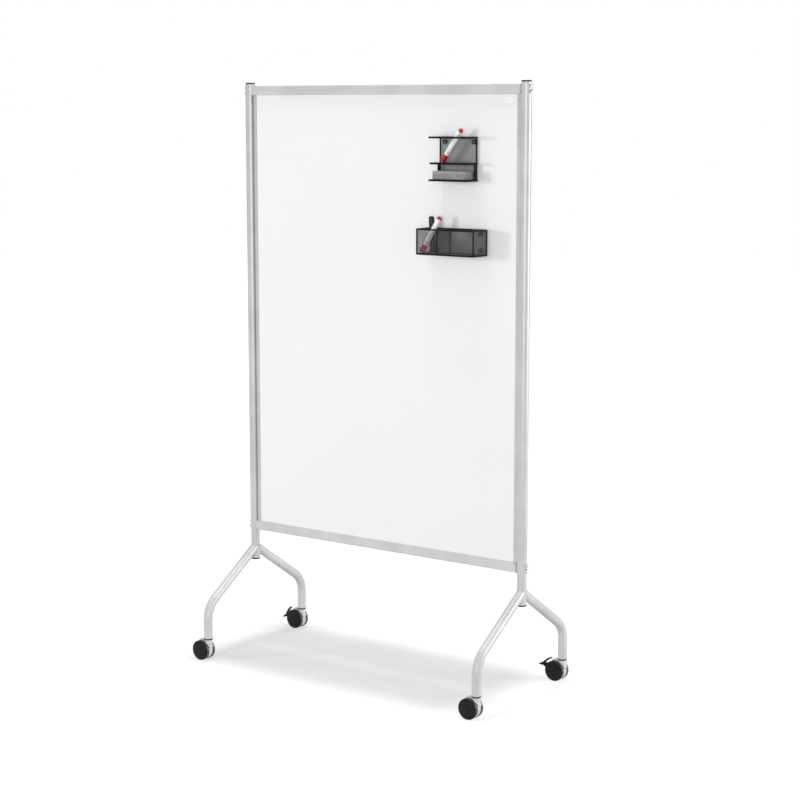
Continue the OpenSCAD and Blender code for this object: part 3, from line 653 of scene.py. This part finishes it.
# ---------------------------------------------------------------- wheel hub caps
for corner in ("front_left", "front_right", "rear_left", "rear_right"):
    for k, which in ((-1, "outer"), (1, "inner")):
        a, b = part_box(corner + "_wheel_" + which)
        w = (b.y - a.y) / MM
        root = V((a.x + b.x) / 2, a.y if k > 0 else b.y, (a.z + b.z) / 2)
        mat = Matrix.Translation(root) @ Matrix.Rotation(math.radians(-90 * k), 4, "X")
        bm = bmesh.new()
        lathe(bm, [(0.0, w - 2.0), (18.4, w - 2.0), (18.9, w - 0.9), (18.7, w - 0.45), (18.2, w - 0.22), (17.5, w - 0.16),
                   (16.8, w - 0.30), (16.4, w - 0.62), (16.0, w - 0.56), (12.0, w - 0.2), (8.0, w + 0.02), (6.4, w + 0.06),
                   (6.0, w + 0.30), (5.4, w + 0.42), (0.0, w + 0.46)], 96, None, mat)
        obj(corner + "_" + which + "_hub_cap", bm, corner + "_" + which + "_wheel", "wheel_plastic")

# ---------------------------------------------------------------- rivet pins in the magnets
for node, body in (("shelf_magnets", "upper_organizer"), ("tray_magnets", "lower_organizer")):
    a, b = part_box(node)
    bm = bmesh.new()
    for x, z in centres(node, 7 * MM):
        mat = Matrix.Translation(V(x, a.y, z)) @ Matrix.Rotation(math.pi / 2, 4, "X")
        lathe(bm, [(0.0, -4.6), (2.56, -4.6), (2.56, -1.5), (2.2, -1.0), (1.5, -0.72), (0.0, -0.6)], 32, None, mat)
    obj(node.split("_")[0] + "_rivet_pins", bm, body, "bolt_steel")

# ---------------------------------------------------------------- weld beads, legs to uprights
def bead(bm, cx, top, t, r=14.35, slope=33.6, size=1.25):
    a = math.radians(slope)
    pts = []
    steps = 96
    for i in range(steps):
        th = 2 * math.pi * i / steps
        s_, c_ = math.sin(th), math.cos(th)
        run = r * abs(s_) * (1 + (math.sin(a) if s_ < 0 else -math.sin(a))) / math.cos(a)
        y = run * math.cos(a) + r * s_ * math.sin(a)
        z = -run * math.sin(a) + r * s_ * math.cos(a)
        pts.append(Vector((r * c_, y, z)))
    vs = []
    for i, p in enumerate(pts):
        tan = (pts[(i + 1) % steps] - pts[i - 1]).normalized()
        out = Vector((p.x, p.y, 0)).normalized()
        side = tan.cross(out).normalized()
        out = side.cross(tan).normalized()
        k = size * (1 + 0.16 * math.sin(i * 1.6) + 0.08 * math.sin(i * 0.47))
        ring = []
        for j in range(8):
            b = 2 * math.pi * j / 8
            q = p + out * (k * math.cos(b)) + side * (k * 1.15 * math.sin(b))
            ring.append(bm.verts.new(V((cx + q.x) * MM, t * q.y * MM, (top + q.z) * MM)))
        vs.append(ring)
    for i in range(steps):
        a_, b_ = vs[i], vs[(i + 1) % steps]
        for j in range(8):
            k = (j + 1) % 8
            bm.faces.new((a_[j], a_[k], b_[k], b_[j]))


for side in ("left", "right"):
    ulo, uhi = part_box(side + "_upright_tube")
    for t, end in ((-1, "front"), (1, "rear")):
        bm = bmesh.new()
        bead(bm, (ulo.x + uhi.x) / 2 / MM, 330.0, t)
        obj(side + "_" + end + "_weld", bm, "board_frame", "painted_tube")


# ---------------------------------------------------------------- lights, floor, camera
scene = bpy.context.scene
world = bpy.data.worlds.new("studio")
scene.world = world
world.use_nodes = True
wt = world.node_tree
bg = next(n for n in wt.nodes if n.type == "BACKGROUND")
bg.inputs["Color"].default_value = (1, 1, 1, 1)
seen = wt.nodes.new("ShaderNodeLightPath")
level = wt.nodes.new("ShaderNodeMapRange")
level.inputs["To Min"].default_value = 0.49
level.inputs["To Max"].default_value = 1.0
wt.links.new(seen.outputs["Is Camera Ray"], level.inputs["Value"])
wt.links.new(level.outputs["Result"], bg.inputs["Strength"])
MID = Vector((0.03, 0, 0.95))


def area(name, way, dist, size, level, aim=MID, tint=(1, 1, 1)):
    """Soft box at a distance along way; level is how bright it makes a white card that faces it."""
    l = bpy.data.lights.new(name, "AREA")
    l.shape = "RECTANGLE"
    l.size, l.size_y = size
    l.energy = level * 0.4 * math.pi ** 2 * dist ** 2
    l.color = tint
    o = bpy.data.objects.new(name, l)
    scene.collection.objects.link(o)
    way = Vector(way).normalized()
    o.location = aim + way * dist
    o.rotation_mode = "QUATERNION"
    o.rotation_quaternion = (-way).to_track_quat("-Z", "Y")
    return o


key = area("key", (-0.66, -0.75, 0.15), 5.5, (0.8, 1.0), 0.85)
key.visible_glossy = False
area("fill", (0.50, -0.86, 0.10), 6.0, (2.0, 2.0), 0.84)
area("rim", (0.88, 0.46, 0.12), 5.0, (1.2, 2.2), 1.35)
area("top", (0, 0, 1), 5.0, (0.7, 1.8), 1.17, aim=Vector((0.03, 0, 0)))

bm = bmesh.new()
bmesh.ops.create_grid(bm, x_segments=8, y_segments=8, size=14)
me = bpy.data.meshes.new("floor")
bm.to_mesh(me)
bm.free()
floor = bpy.data.objects.new("floor", me)
scene.collection.objects.link(floor)
fm = Mat("floor_paper", Roughness=0.9)
fm.b.inputs["Specular IOR Level"].default_value = 0.2
# painted shadow: a soft darker patch under the footprint, taken off the floor's glow by position
sx = fm.math("ABSOLUTE", fm.math("SUBTRACT", fm.axis(0), -0.05))
sy = fm.math("ABSOLUTE", fm.math("SUBTRACT", fm.axis(1), 0.01))
painted_shadow_pool = fm.math("MULTIPLY", fm.span(sx, 0.42, 0.60, 1.0, 0.0), fm.span(sy, 0.17, 0.33, 1.0, 0.0))
fm.colour(fm.mix(fm.span(fm.noise(3, 3, 0.5), 0.3, 0.7), (0.30, 0.30, 0.305), (0.32, 0.32, 0.325)))
far = fm.node("ShaderNodeVectorMath", operation="LENGTH")
fm.link(fm.co.outputs["Object"], far.inputs[0])
# floor glow rises with distance to keep the floor evenly white, less the painted shadow patch
glow_less_painted_shadow = fm.math("ADD", fm.span(far.outputs["Value"], 0.9, 2.6, 0.71, 1.0), fm.math("MULTIPLY", painted_shadow_pool, -0.275))
fm.b.inputs["Emission Color"].default_value = (1, 1, 1, 1)
fm.link(glow_less_painted_shadow, fm.b.inputs["Emission Strength"])
me.materials.append(fm.m)
floor.visible_diffuse = False

cam = bpy.data.cameras.new("camera")
cam.sensor_width = 36.0
cam.lens = 1920.2 / 800 * 36.0
cam.clip_start, cam.clip_end = 0.1, 100
cam_o = bpy.data.objects.new("camera", cam)
scene.collection.objects.link(cam_o)
cam_o.location = (3.5347625, -4.687, 1.749)
cam_o.rotation_euler = (math.radians(90 - 8.638), 0, math.radians(36.238))
scene.camera = cam_o
scene.view_settings.view_transform = "Standard"
